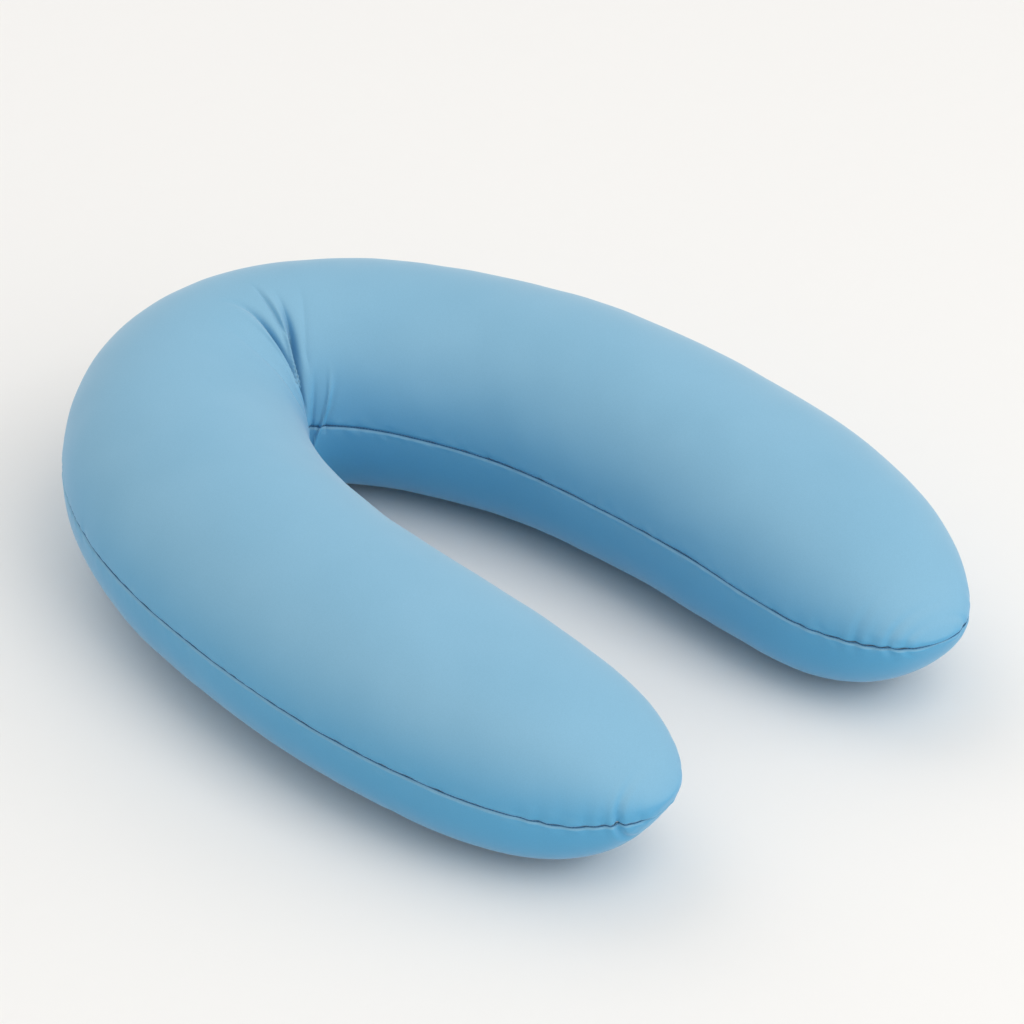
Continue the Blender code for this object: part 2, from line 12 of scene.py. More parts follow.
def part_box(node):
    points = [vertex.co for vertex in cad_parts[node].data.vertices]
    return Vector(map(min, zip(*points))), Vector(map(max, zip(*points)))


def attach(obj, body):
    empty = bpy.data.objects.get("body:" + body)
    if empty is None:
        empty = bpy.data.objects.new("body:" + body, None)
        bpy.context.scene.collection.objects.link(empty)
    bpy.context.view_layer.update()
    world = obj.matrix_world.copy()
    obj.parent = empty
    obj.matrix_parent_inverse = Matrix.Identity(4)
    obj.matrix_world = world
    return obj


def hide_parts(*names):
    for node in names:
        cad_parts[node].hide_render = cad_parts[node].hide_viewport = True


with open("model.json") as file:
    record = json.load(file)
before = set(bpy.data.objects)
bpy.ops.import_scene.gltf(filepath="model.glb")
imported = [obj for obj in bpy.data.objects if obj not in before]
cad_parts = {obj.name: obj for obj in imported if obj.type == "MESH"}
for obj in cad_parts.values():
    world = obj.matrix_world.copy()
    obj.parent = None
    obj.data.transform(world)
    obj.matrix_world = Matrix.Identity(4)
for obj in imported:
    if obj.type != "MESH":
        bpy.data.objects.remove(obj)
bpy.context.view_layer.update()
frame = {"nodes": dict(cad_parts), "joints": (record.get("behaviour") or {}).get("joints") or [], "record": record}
NODES = frame["nodes"]

# ---------------------------------------------------------------- the tube's shape
HALF_LENGTH = 0.8333
CROWN_HALF_WIDTH, ARM_HALF_WIDTH, END_HALF_WIDTH = 0.1092, 0.1138, 0.1149
HEIGHT = 0.2034
WIDEST_HEIGHT, WIDEST_DROP = 0.0986, 0.0047
TIP_HEIGHT_SHARE = 0.70
TIP_SHARE = 0.3489
TIP_ROUND, TIP_ROUND_UP = (2.4055, 2.1525), (4.9641, 1.3011)
TOP_SQUARENESS, UNDER_SQUARENESS = 2.0235, 2.2342
UNDER_FLATTENING = 1.0253
CROWN_BEND, ARM_BEND = 8.0263, 0.7565
BEND_REACH, BEND_SHARPNESS = 0.1640, 1.0622
TIP_STRAIGHTENING = 0.4401
NOTCH_SLOPE = 0.035             # keeps the two sides of the inner bend apart
NEAR_BULGE = 0.0055             # more width on the near arm's inner side, towards the crown
SHIFT = 0.3157                  # y of the middle line at the crown

# Differences between the two arms, as shares: middle of the arm, end of the arm.
NEAR_HEIGHT, NEAR_INNER, NEAR_OUTER = (-0.0254, -0.0728), (-0.0169, -0.0502), (-0.0209, -0.0501)
FAR_HEIGHT, FAR_INNER, FAR_OUTER = (0.0542, -0.0170), (-0.0220, 0.0), (0.0005, -0.0346)

# Zip on the back of the crown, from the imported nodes.
tape_low, tape_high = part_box("zip_tape_upper")
ZIP_Z = (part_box("zip_tape_lower")[0].z + tape_high.z) / 2
ZIP_CENTRE_Y = frame["joints"][0]["pos_m"][1]
ZIP_RADIUS = tape_high.y - 0.0003 - ZIP_CENTRE_Y
ZIP_HALF_ANGLE = 38.0
HEM_EDGE = 0.0054               # the hems stop this far from the zip's middle


def ease(t):
    """0 to 1 with flat ends."""
    t = np.clip(t, 0.0, 1.0)
    return t * t * (3 - 2 * t)


def lay_middle_line(steps=4000):
    """Shares, x, y and headings along the middle line of one arm."""
    step = 1.0 / steps
    s = (np.arange(steps) + 0.5) * step
    fade = np.exp(-((s / BEND_REACH) ** BEND_SHARPNESS))
    bend = ARM_BEND + (CROWN_BEND - ARM_BEND) * fade - TIP_STRAIGHTENING * s * s
    heading = np.concatenate([[0.0], -np.cumsum(bend * step)])
    mean = (heading[1:] + heading[:-1]) / 2
    x = np.concatenate([[0.0], np.cumsum(np.cos(mean))]) * step * HALF_LENGTH
    y = np.concatenate([[0.0], np.cumsum(np.sin(mean))]) * step * HALF_LENGTH
    return np.linspace(0, 1, steps + 1), x, y, heading


LINE_S, LINE_X, LINE_Y, LINE_HEADING = lay_middle_line()


def closing(s, shape):
    """Share of the full size left at s."""
    t = np.clip((s - (1 - TIP_SHARE)) / TIP_SHARE, 0.0, 1.0)
    return np.maximum(1 - t ** shape[0], 0.0) ** (1 / shape[1])


def arm_shares(s, near, far):
    """1 plus an arm's own share, by the middle of the arm and by its end."""
    a = np.abs(s)
    middle = ease((a - 0.2) / 0.3) * (1 - ease((a - 0.7) / 0.3))
    end = ease((a - 0.6) / 0.3)
    return 1 + np.where(s < 0, near[0] * middle + near[1] * end, far[0] * middle + far[1] * end)


def surface(s, angle, depth=0.0):
    """Points on the smooth tube, and the outward direction within the section.

    s runs from -1, the near arm's tip, to 1, the far arm's. Angle 0 is the outer
    side of the U, 90 the top and 180 the inner side, in degrees.
    """
    s, angle = np.broadcast_arrays(np.asarray(s, float), np.asarray(angle, float))
    a = np.abs(s)
    inside = a * (1 - depth / HALF_LENGTH)
    x, y, h = (np.interp(inside, LINE_S, v) for v in (LINE_X, LINE_Y, LINE_HEADING))
    c, sn = np.cos(np.radians(angle)), np.sin(np.radians(angle))
    power = np.where(sn >= 0, TOP_SQUARENESS, UNDER_SQUARENESS)
    r = (np.abs(c) ** power + np.abs(sn) ** power) ** (-1 / power)
    width = CROWN_HALF_WIDTH + (ARM_HALF_WIDTH - CROWN_HALF_WIDTH) * ease(a / 0.3)
    width = width + (END_HALF_WIDTH - ARM_HALF_WIDTH) * ease((a - 0.6) / 0.4)
    share = np.where(c > 0, arm_shares(s, NEAR_OUTER, FAR_OUTER), arm_shares(s, NEAR_INNER, FAR_INNER))
    half = (width - depth) * (1 + (share - 1) * c * c) * closing(a, TIP_ROUND)
    side = half * r * c
    bulge = NEAR_BULGE * ease(a / 0.12) * (1 - ease((a - 0.2) / 0.4)) * ease((-c - 0.5) / 0.4)
    side = side - np.where(s < 0, bulge, 0)
    widest = WIDEST_HEIGHT - WIDEST_DROP * np.clip((a - 0.3) / 0.7, 0, 1) ** 2
    tip = (TIP_HEIGHT_SHARE - 1) * np.clip((a - 0.4) / 0.6, 0, 1) ** 1.5
    over = (HEIGHT - widest) * (1 + tip) * arm_shares(s, NEAR_HEIGHT, FAR_HEIGHT) - depth
    under = widest * UNDER_FLATTENING - depth
    up = np.where(sn >= 0, over, under) * closing(a, TIP_ROUND_UP)
    z = np.maximum(widest + up * r * sn, depth)
    px = x - np.sin(h) * side
    py = y + np.cos(h) * side + SHIFT
    least = NOTCH_SLOPE * a * HALF_LENGTH
    soft = 0.004 * np.clip(a / 0.04, 0, 1)
    px = np.where(c < 0.2, (px + least + np.sqrt((px - least) ** 2 + soft ** 2)) / 2, px)
    lean_side = np.sign(c) * np.abs(r * c) ** (power - 1) / np.maximum(half, 0.01)
    lean_up = np.sign(sn) * np.abs(r * sn) ** (power - 1) / np.maximum(up, 0.01)
    sx, sy = -np.sin(h) * lean_side, np.cos(h) * lean_side
    mirror = np.where(s < 0, -1.0, 1.0)
    point = np.stack([px * mirror, py, z], -1)
    out = np.stack([sx * mirror, sy, lean_up], -1)
    return point, out / np.linalg.norm(out, axis=-1, keepdims=True)


# ---------------------------------------------------------------- seams
TIP_SEAM_DROP = (0.155, 0.055)   # near and far: how far below the tip the seam passes
TIP_SEAM_REACH = 0.9


def under_tip(s, angle):
    """Moves the pole of the tip's grid down onto the seam, which passes below it."""
    s, angle = np.broadcast_arrays(np.asarray(s, float), np.asarray(angle, float))
    a = np.abs(s)
    c, sn = np.cos(np.radians(angle)), np.sin(np.radians(angle))
    power = np.where(sn >= 0, TOP_SQUARENESS, UNDER_SQUARENESS)
    r = (np.abs(c) ** power + np.abs(sn) ** power) ** (-1 / power)
    u, v = closing(a, TIP_ROUND) * r * c, closing(a, TIP_ROUND_UP) * r * sn
    drop = np.where(s < 0, TIP_SEAM_DROP[0], TIP_SEAM_DROP[1])
    v = v - drop * np.clip(1 - (u * u + v * v) / TIP_SEAM_REACH ** 2, 0, 1) ** 2
    power = np.where(v >= 0, TOP_SQUARENESS, UNDER_SQUARENESS)
    low, high = np.full(a.shape, 1 - TIP_SHARE), np.ones(a.shape)
    for _ in range(45):
        mid = (low + high) / 2
        cw, cz = closing(mid, TIP_ROUND) + 1e-12, closing(mid, TIP_ROUND_UP) + 1e-12
        outside = (np.abs(u) / cw) ** power + (np.abs(v) / cz) ** power > 1
        high, low = np.where(outside, mid, high), np.where(outside, low, mid)
    cw, cz = closing(low, TIP_ROUND) + 1e-12, closing(low, TIP_ROUND_UP) + 1e-12
    turned = np.degrees(np.arctan2(v / cz, u / cw))
    turned = turned + 360 * np.round((angle - turned) / 360)
    near_tip = a > 1 - TIP_SHARE * 0.9
    return np.where(near_tip, np.sign(s) * low, s), np.where(near_tip, turned, angle)


def seam_angle(s, inner):
    """Angle of the outer or the inner seam, before the tip's grid is moved."""
    a = np.abs(s)
    blend = np.clip((a - 0.3) / 0.7, 0, 1) ** 2
    if inner:
        dip = 2.1 + 2.2 * np.exp(-(((a - 0.72) / 0.09) ** 2))
        back = 2.5 * ease((a - 0.84) / 0.08) * (1 - ease((a - 0.95) / 0.05))
        return 180 - dip * (1 - ease((a - 0.75) / 0.15)) + back
    return -(13.45 * blend - 2.0) * (1 - ease((a - 0.93) / 0.07))


def zip_angle(point):
    """Angle about the zip's centre, 0 at the back and positive to +X, in degrees."""
    return np.degrees(np.arctan2(point[..., 0], point[..., 1] - ZIP_CENTRE_Y))


def slot_opening(point):
    """Distance from the seam's middle to a panel's edge, wider along the zip."""
    beyond = np.abs(zip_angle(point)) - ZIP_HALF_ANGLE
    return SEAM_HALF_GAP + (HEM_EDGE - SEAM_HALF_GAP) * (1 - ease((beyond + 0.1) / 1.3))


SEAM_HALF_GAP = 0.00036
SEAM_DEPTH = 0.0016
SEAM_ROLL = 0.0019


# ---------------------------------------------------------------- folds and puckers
def soft_noise(points, wavelength, seed, count=28):
    """Smooth noise about 1 in size, the sum of plane waves in random directions."""
    rng = np.random.default_rng(seed)
    direction = rng.normal(size=(count, 3))
    direction /= np.linalg.norm(direction, axis=1, keepdims=True)
    scale = 2 * np.pi / wavelength * rng.uniform(0.6, 1.4, count)
    phase = rng.uniform(0, 2 * np.pi, count)
    flat = points.reshape(-1, 3)
    total = np.zeros(len(flat))
    for d, k, p in zip(direction, scale, phase):
        total += np.sin(flat @ d * k + p)
    return (total * math.sqrt(2 / count)).reshape(points.shape[:-1])


# Folds that fan out over the top from the inner bend. Each is a curve: share of the
# length at its top and foot, how late it turns between them, how far its top leans
# over, angles of the top and foot, height in mm, below zero for a crease, and half
# width in mm at the top and foot.
BEND_FOLDS = (
    (0.05, -0.05, 3, 0.0, 97, 170, -12.0, 2.8, 4.4),
    (0.05, -0.02, 3, 0.0, 108, 156, -5.5, 1.3, 1.8),
    (0.0, -0.04, 3, 0.0, 112, 150, -4.0, 1.3, 1.7),
    (0.036, -0.04, 4, 0.0, 88, 158, 4.5, 5.0, 2.5),
    (0.03, 0.027, 3, 0.0, 86, 122, -3.0, 3.0, 2.0),
    (0.0, -0.04, 5, -0.035, 88, 152, -8.0, 4.5, 3.0),
    (-0.021, -0.06, 5, 0.0, 96, 152, 2.5, 6.0, 2.8),
    (-0.06, -0.11, 1.5, 0.0, 92, 150, -1.7, 9.0, 6.0),
    (0.083, 0.065, 2.5, 0.0, 92, 138, -1.4, 5.0, 4.0),
    (0.078, 0.02, 2, 0.0, 144, 182, -2.5, 6.0, 4.0),
    (0.118, 0.04, 3, 0.0, 142, 188, 3.0, 4.0, 2.6),
    (0.134, 0.10, 1.5, 0.0, 148, 176, -1.3, 5.0, 3.0),
)
FOLD_RISE = 0.6                  # share of a fold's run by which it has its full height
FOLD_TAIL = 0.3                  # how far it fades beyond its foot, as a share of its run
FOLD_LEAN = 6                    # how close to its top a fold leans over


def fold_field(s, angle):
    """Height of the folds at the inner bend."""
    total = np.zeros(np.broadcast(s, angle).shape)
    for top, foot, turn, lean, first, last, height, top_width, foot_width in BEND_FOLDS:
        run = last - first
        along = np.clip((angle - first) / run, 0, 1)
        where = top + (foot - top) * along ** turn + lean * (1 - along) ** FOLD_LEAN
        amount = height / 1000 * ease(along / FOLD_RISE) * (1 - ease((angle - last) / (FOLD_TAIL * run)))
        width = (top_width + (foot_width - top_width) * ease(along / FOLD_RISE)) / 1000
        crowd = 1 - np.clip(-np.cos(np.radians(angle)), 0, 1) * 0.72 * np.exp(-(where / 0.13) ** 2)
        reach = width / (HALF_LENGTH * crowd)
        t = np.abs(s - where) / reach
        total += amount * np.exp(-(t ** (1.3 if height < 0 else 2)))
    return total


# Gathers where the seam turns round a tip: share, inner side or not, then in mm the
# depth, half width and reach above and below the seam.
TIP_GATHERS = (
    (-0.890, False, 0.5, 4.5, 16, 8), (-0.911, False, 0.8, 4.0, 20, 8),
    (-0.931, False, 0.9, 4.0, 22, 8), (-0.952, False, 0.9, 3.6, 22, 10),
    (-0.966, False, 0.8, 3.2, 18, 10), (-0.976, False, 3.6, 3.0, 30, 26),
    (-0.990, False, 0.9, 3.5, 16, 8), (-0.930, True, 0.7, 4.0, 20, 8),
    (-0.960, True, 0.9, 4.0, 20, 8), (-0.985, True, 0.9, 4.0, 18, 8),
    (0.892, True, 0.6, 4.5, 14, 8), (0.915, True, 0.7, 4.0, 16, 9),
    (0.935, True, 0.6, 3.6, 18, 9), (0.953, True, 1.5, 3.6, 34, 8),
    (0.968, True, 0.6, 3.2, 18, 9), (0.980, True, 1.7, 3.4, 34, 9),
    (0.9905, True, 0.9, 3.0, 20, 8),
    (0.990, False, 0.9, 3.6, 20, 8), (0.965, False, 0.9, 4.0, 20, 8),
    (0.930, False, 0.7, 4.0, 18, 8),
)


def tip_puckers(s, angle, edge, upper):
    """Small gathers on either side of the seam; edge is the distance to it."""
    total = np.zeros(s.shape)
    for share, inner, depth, width, above, below in TIP_GATHERS:
        at = 180.0 if inner else 0.0
        two = surface(np.array([share - 0.0005, share + 0.0005]), at)[0]
        spread = np.linalg.norm(two[1] - two[0]) / 0.001
        off = (angle - at + 180) % 360 - 180
        same_side = np.abs(off) < 100
        t = (s - share) * spread / (width / 1000)
        fade = np.exp(-((edge / ((above if upper else below) / 1000)) ** 1.5))
        total -= same_side * depth / 1000 * fade * (np.exp(-np.abs(t) ** 1.6) - 0.35 * np.exp(-((np.abs(t) - 1.9) ** 2)))
    return total * ease((1 - np.abs(s)) / 0.006)


def relief(point, s, angle, edge, opening, upper):
    """How far the fabric stands out from the smooth tube."""
    a = np.abs(s)
    slot = (opening - SEAM_HALF_GAP) / (HEM_EDGE - SEAM_HALF_GAP)
    roll = -SEAM_DEPTH * np.exp(-((edge / SEAM_ROLL) ** 1.4)) * (1 - slot)
    lip = (0.00025 if upper else 0.0004) * np.exp(-(((edge - 0.0022) / 0.0010) ** 2)) * (1 - slot)
    gather = 0.00022 * soft_noise(point, 0.011, 5) * np.exp(-((edge / 0.011) ** 2)) * ease((1 - a) / 0.006)
    waves = 0.00045 * soft_noise(point, 0.16, 1) + 0.00015 * soft_noise(point, 0.05, 2)
    hem = slot * 0.0004 * (1 - ease((edge - 0.0050) / 0.0016))
    hem = hem - slot * 0.0007 * np.exp(-((edge / 0.0006) ** 2))
    hem = hem - slot * 0.00025 * np.exp(-(((edge - HEM_STITCH) / 0.0007) ** 2))
    puckers = tip_puckers(s, angle, edge, upper)
    return roll + lip + gather + waves + hem + puckers + fold_field(s, angle)


HEM_STITCH = 0.0024              # from a hem's edge to its stitching


# ---------------------------------------------------------------- grids
def row_shares(even=None):
    """Shares of the sections, closer together at the folds, the zip's ends and tips."""
    s = np.linspace(-1, 1, 8001)
    spacing = np.full(s.shape, ROW_SPACING)
    spacing = np.minimum(spacing, 0.0017 + 0.0023 * ease((np.abs(s) - 0.08) / 0.06))
    outer = surface(s, 0)[0]
    beyond = np.abs(np.abs(zip_angle(outer)) - ZIP_HALF_ANGLE - 0.5)
    spacing = np.minimum(spacing, 0.0010 + 0.003 * ease((beyond - 1.0) / 1.5))
    spacing = np.minimum(spacing, 0.0018 + 0.002 * ease((1 - np.abs(s)) / 0.10))
    if even:
        spacing[:] = even
    paths = [np.linalg.norm(np.diff(surface(s, a)[0], axis=0), axis=1) for a in (0, 90)]
    travel = np.maximum(*paths) / ((spacing[1:] + spacing[:-1]) / 2)
    total = np.concatenate([[0], np.cumsum(travel)])
    return np.interp(np.linspace(0, total[-1], int(total[-1])), total, s)


ROW_SPACING = 0.0042
EDGE_COLUMNS = np.array([0, 0.35, 0.8, 1.4, 2.2, 3.2, 4.6, 6.6, 9.2]) / 1000
MIDDLE_COLUMNS = 62


def panel_grid(shares, upper, depth=0.0, columns=MIDDLE_COLUMNS, edges=EDGE_COLUMNS):
    """Share, angle, distance from the nearer edge and opening at each grid point."""
    fine = np.linspace(0, 1, 361)[None, :]
    s = shares[:, None]
    outer, inner = seam_angle(s, False), seam_angle(s, True)
    start, end = (outer, inner) if upper else (inner, outer + 360)
    angle = start + (end - start) * fine
    s_all, a_all = under_tip(s, angle)
    point = surface(s_all, a_all, depth)[0]
    length = np.concatenate(
        [np.zeros((len(shares), 1)),
         np.cumsum(np.linalg.norm(np.diff(point, axis=1), axis=2), axis=1)], axis=1)
    total = length[:, -1]
    first, last = (0, -1) if upper else (-1, 0)
    open_outer = slot_opening(point[:, first])
    rows = []
    for i in range(len(shares)):
        room = min(1.0, total[i] / 0.06)
        a0, a1 = (open_outer[i], SEAM_HALF_GAP) if upper else (SEAM_HALF_GAP, open_outer[i])
        a0, a1 = a0 * room, a1 * room
        left, right = a0 + edges * room, total[i] - a1 - edges[::-1] * room
        between = np.linspace(left[-1], right[0], columns + 2)[1:-1]
        rows.append(np.concatenate([left, between, right]))
    rows = np.array(rows)
    fraction = np.array([np.interp(r, l, fine[0]) for r, l in zip(rows, length)])
    angle = start + (end - start) * fraction
    s_all, a_all = under_tip(np.broadcast_to(s, angle.shape), angle)
    half = rows.shape[1] // 2
    opening = np.full(rows.shape, SEAM_HALF_GAP)
    side = slice(0, half) if upper else slice(half, None)
    opening[:, side] = open_outer[:, None]
    room = np.minimum(1.0, total / 0.06)[:, None]
    edge = np.minimum(rows, total[:, None] - rows) - opening * room
    return s_all, a_all, edge, opening


def grid_normals(point, fallback):
    """Outward normals of a grid whose columns run across and rows along."""
    along = np.gradient(point, axis=0)
    across = np.gradient(point, axis=1)
    normal = np.cross(across, along)
    size = np.linalg.norm(normal, axis=-1, keepdims=True)
    steady = size > 2e-8
    normal = np.where(steady, normal / np.maximum(size, 1e-12), fallback)
    agree = (normal * fallback).sum(-1, keepdims=True)
    return np.where(agree > 0.2, normal, fallback)


def pole_normal(share):
    """Outward direction at a tip, where the rows of a grid come together."""
    angle = np.linspace(0, 360, 36, endpoint=False)
    ring = surface(*under_tip(0.999 * share, angle))[0]
    direction = surface(*under_tip(share, 0.0))[0] - ring.mean(0)
    return direction / np.linalg.norm(direction)


POLE_NORMALS = pole_normal(-1.0), pole_normal(1.0)


def skin_normals(point, s, out):
    """Outward normals of a grid that runs from tip to tip."""
    forward = np.where((s < 0)[..., None], *POLE_NORMALS)
    out = out + forward * 1.5 * ease((np.abs(s) - 0.93) / 0.07)[..., None]
    normal = grid_normals(point, out / np.linalg.norm(out, axis=-1, keepdims=True))
    normal[0], normal[-1] = POLE_NORMALS
    return normal


def near_zip(point, standoff, half_angle=ZIP_HALF_ANGLE):
    """Brings the fabric beside the zip onto an arc about the zip's centre."""
    radius = np.hypot(point[..., 0], point[..., 1] - ZIP_CENTRE_Y)
    away = np.abs(point[..., 2] - ZIP_Z)
    weight = 1 - ease((away - 0.0095) / 0.013)
    weight = weight * (1 - ease((np.abs(zip_angle(point)) - half_angle - 1.0) / 4.5))
    weight = weight * ((point[..., 1] > ZIP_CENTRE_Y) & (radius > 0.8 * ZIP_RADIUS))
    change = weight * (ZIP_RADIUS + standoff - radius)
    flat = point - np.array([0, ZIP_CENTRE_Y, 0])
    flat[..., 2] = 0
    flat /= np.maximum(radius, 1e-6)[..., None]
    return point + flat * change[..., None]


HEM_STANDOFF = 0.0019


def shell_object(name, outer, inner):
    """Closed solid between two grids whose first and last rows are single points."""
    rows, columns = outer.shape[:2]
    body = np.arange((rows - 2) * columns).reshape(rows - 2, columns)
    count = body.size
    layers, polys = [], []
    for k, grid in enumerate((outer, inner)):
        base = k * (count + 2)
        layers += [grid[1:-1].reshape(-1, 3), grid[0, :1], grid[-1, :1]]
        g = body + base
        quads = np.stack([g[:-1, :-1], g[:-1, 1:], g[1:, 1:], g[1:, :-1]], -1).reshape(-1, 4)
        first, last = base + count, base + count + 1
        fans = [(first, g[0, j + 1], g[0, j]) for j in range(columns - 1)]
        fans += [(last, g[-1, j], g[-1, j + 1]) for j in range(columns - 1)]
        if k:
            quads, fans = quads[:, ::-1], [f[::-1] for f in fans]
        polys += quads.tolist() + fans
    ring = [count] + list(body[:, 0]) + [count + 1] + list(body[::-1, -1])
    shift = count + 2
    for a, b in zip(ring, ring[1:] + ring[:1]):
        polys.append((a, b, b + shift, a + shift))
    return mesh_object(name, np.concatenate(layers), polys)


def mesh_object(name, points, polys):
    """Smooth-shaded mesh object in the scene."""
    mesh = bpy.data.meshes.new(name)
    mesh.from_pydata(np.asarray(points, float).tolist(), [], [tuple(int(i) for i in p) for p in polys])
    mesh.shade_smooth()
    obj = bpy.data.objects.new(name, mesh)
    bpy.context.scene.collection.objects.link(obj)
    return obj


def wire_object(name, paths, sides, radius_of=None, flatten=1.0):
    """Closed tubes round paths; each path is (points, radii)."""
    points, polys = [], []
    ring = np.arange(sides) * 2 * np.pi / sides
    for path, radii in paths:
        tangent = np.gradient(path, axis=0)
        tangent /= np.linalg.norm(tangent, axis=1, keepdims=True)
        reference = np.array([0.0, 0.0, 1.0]) if abs(tangent[:, 2]).max() < 0.9 else None
        if reference is None:
            side = np.zeros_like(path)
            current = np.cross(tangent[0], [0.3, 0.5, 0.8])
            for i, t in enumerate(tangent):
                current = current - t * (current @ t)
                current = current / np.linalg.norm(current)
                side[i] = current
        else:
            side = np.cross(tangent, reference)
            side /= np.linalg.norm(side, axis=1, keepdims=True)
        up = np.cross(side, tangent)
        radii = np.broadcast_to(radii, len(path))[:, None, None]
        grid = path[:, None] + radii * (
            side[:, None] * np.cos(ring)[None, :, None] + up[:, None] * np.sin(ring)[None, :, None])
        base = sum(len(p) for p in points)
        points.append(grid.reshape(-1, 3))
        n = len(path)
        index = base + np.arange(n * sides).reshape(n, sides)
        turned = np.roll(index, -1, axis=1)
        polys += np.stack([index[:-1], turned[:-1], turned[1:], index[1:]], -1).reshape(-1, 4)[:, ::-1].tolist()
        polys.append(list(index[0]))
        polys.append(list(index[-1][::-1]))
    return mesh_object(name, np.concatenate(points), polys)


# ---------------------------------------------------------------- cloth
class Wrinkles:
    """Fine wrinkles of the cover, from a cloth simulation of the filled tube."""

    VOXEL = 0.0065
    FRAMES = 20
    CAP = 0.0020

    def __init__(self):
        self.tree = None
        self.simulate()

    def closed_tube(self):
        """Slightly slimmer closed tube, remeshed evenly."""
        shares = row_shares(0.008)
        angle = np.linspace(0, 360, 90, endpoint=False)[None, :]
        grid = surface(shares[:, None], angle, 0.002)[0]
        obj = closed_grid_object("simulated_cover", grid)
        remesh = obj.modifiers.new("Remesh", "REMESH")
        remesh.mode, remesh.voxel_size = "VOXEL", self.VOXEL
        evaluated = obj.evaluated_get(bpy.context.evaluated_depsgraph_get())
        mesh = bpy.data.meshes.new_from_object(evaluated)
        obj.modifiers.clear()
        obj.data = mesh
        return obj

    def weights(self, obj, rest):
        """Vertex groups: held at the seams, roomier at the inner bend and the tips."""
        path = seam_path(0.002, 0.0, lambda point, s, angle: np.zeros(s.shape))
        tree = KDTree(len(path))
        for i, p in enumerate(path):
            tree.insert(p, i)
        tree.balance()
        near_seam = np.array([tree.find(p)[2] for p in rest])
        self.seam_fade = ease(near_seam / 0.02)
        held = obj.vertex_groups.new(name="held")
        for i in np.nonzero(near_seam < 0.7 * self.VOXEL)[0]:
            held.add([int(i)], 1.0, "REPLACE")
        bend = np.exp(-(np.linalg.norm(rest[:, :2] - [0.0, BEND_CENTRE_Y], axis=1) / 0.075) ** 2)
        tips = ease((TIP_LINE_Y - rest[:, 1]) / 0.09)
        roomy = obj.vertex_groups.new(name="roomy")
        for i, w in enumerate(np.clip(bend + 0.7 * tips, 0, 1)):
            if w > 0.02:
                roomy.add([i], float(w), "REPLACE")

    def simulate(self):
        """Inflates the tube, and keeps what moved differently from its surroundings."""
        obj = self.closed_tube()
        count = len(obj.data.vertices)
        rest, normal = np.zeros(count * 3), np.zeros(count * 3)
        obj.data.vertices.foreach_get("co", rest)
        obj.data.vertices.foreach_get("normal", normal)
        rest, normal = rest.reshape(-1, 3), normal.reshape(-1, 3)
        self.weights(obj, rest)
        cloth = obj.modifiers.new("Cloth", "CLOTH")
        settings = cloth.settings
        settings.quality, settings.mass = 5, 0.25
        settings.tension_stiffness = settings.compression_stiffness = 12.0
        settings.shear_stiffness, settings.bending_stiffness = 6.0, 0.15
        settings.use_pressure, settings.uniform_pressure_force = True, 4.0
        settings.effector_weights.gravity = 0.0
        settings.vertex_group_mass = "held"
        settings.vertex_group_shrink = "roomy"
        settings.shrink_min, settings.shrink_max = 0.0, -0.12
        cloth.collision_settings.use_collision = False
        cloth.point_cache.frame_start, cloth.point_cache.frame_end = 1, self.FRAMES
        for frame_number in range(1, self.FRAMES + 1):
            bpy.context.scene.frame_set(frame_number)
        evaluated = obj.evaluated_get(bpy.context.evaluated_depsgraph_get())
        moved = np.zeros(count * 3)
        evaluated.data.vertices.foreach_get("co", moved)
        height = ((moved.reshape(-1, 3) - rest) * normal).sum(1)
        edges = np.zeros(len(obj.data.edges) * 2, int)
        obj.data.edges.foreach_get("vertices", edges)
        fine = self.smoothed(height, edges.reshape(-1, 2), 2)
        local = fine - self.smoothed(fine, edges.reshape(-1, 2), 90)
        self.height = np.clip(local, -self.CAP, self.CAP) * self.seam_fade
        self.tree = KDTree(count)
        for i, p in enumerate(rest):
            self.tree.insert(p, i)
        self.tree.balance()
        bpy.data.objects.remove(obj)
        bpy.context.scene.frame_set(1)

    @staticmethod
    def smoothed(values, edges, rounds):
        """Values averaged with their neighbours, round after round."""
        degree = np.bincount(edges.ravel(), minlength=len(values))
        for _ in range(rounds):
            total = np.bincount(edges[:, 0], values[edges[:, 1]], len(values))
            total += np.bincount(edges[:, 1], values[edges[:, 0]], len(values))
            values = 0.5 * values + 0.5 * total / degree
        return values

    def at(self, point):
        """Height of the wrinkles at points on the smooth tube."""
        if self.tree is None:
            return np.zeros(point.shape[:-1])
        found = np.zeros(point.shape[:-1])
        flat, out = point.reshape(-1, 3), found.reshape(-1)
        for k, p in enumerate(flat):
            near = self.tree.find_n(p, 4)
            weight = [1 / (d + 0.0015) for _, _, d in near]
            out[k] = sum(w * self.height[i] for w, (_, i, _) in zip(weight, near)) / sum(weight)
        return found


BEND_CENTRE_Y = surface(0.0, 180.0)[0][1]
TIP_LINE_Y = surface(0.9, 0.0)[0][1]

# ---------------------------------------------------------------- the cushion's layers
SHARES = row_shares()


def cover_skin(name, upper, thickness=0.0011):
    """One panel of the cover."""
    s, angle, edge, opening = panel_grid(SHARES, upper)
    point, out = surface(s, angle)
    normal = skin_normals(point, s, out)
    point[0], point[-1] = point[0].mean(0), point[-1].mean(0)
    height = relief(point, s, angle, edge, opening, upper) + WRINKLES.at(point)
    height[0], height[-1] = height[0].mean(), height[-1].mean()
    outer = point + normal * height[..., None]
    outer = near_zip(outer, HEM_STANDOFF)
    outer[..., 2] = np.maximum(outer[..., 2], 0.0004)
    normal = grid_normals(outer, normal)
    normal[0], normal[-1] = POLE_NORMALS
    inner = outer - normal * thickness
    inner[..., 2] = np.maximum(inner[..., 2], 0.0012)
    return shell_object(name, outer, inner)


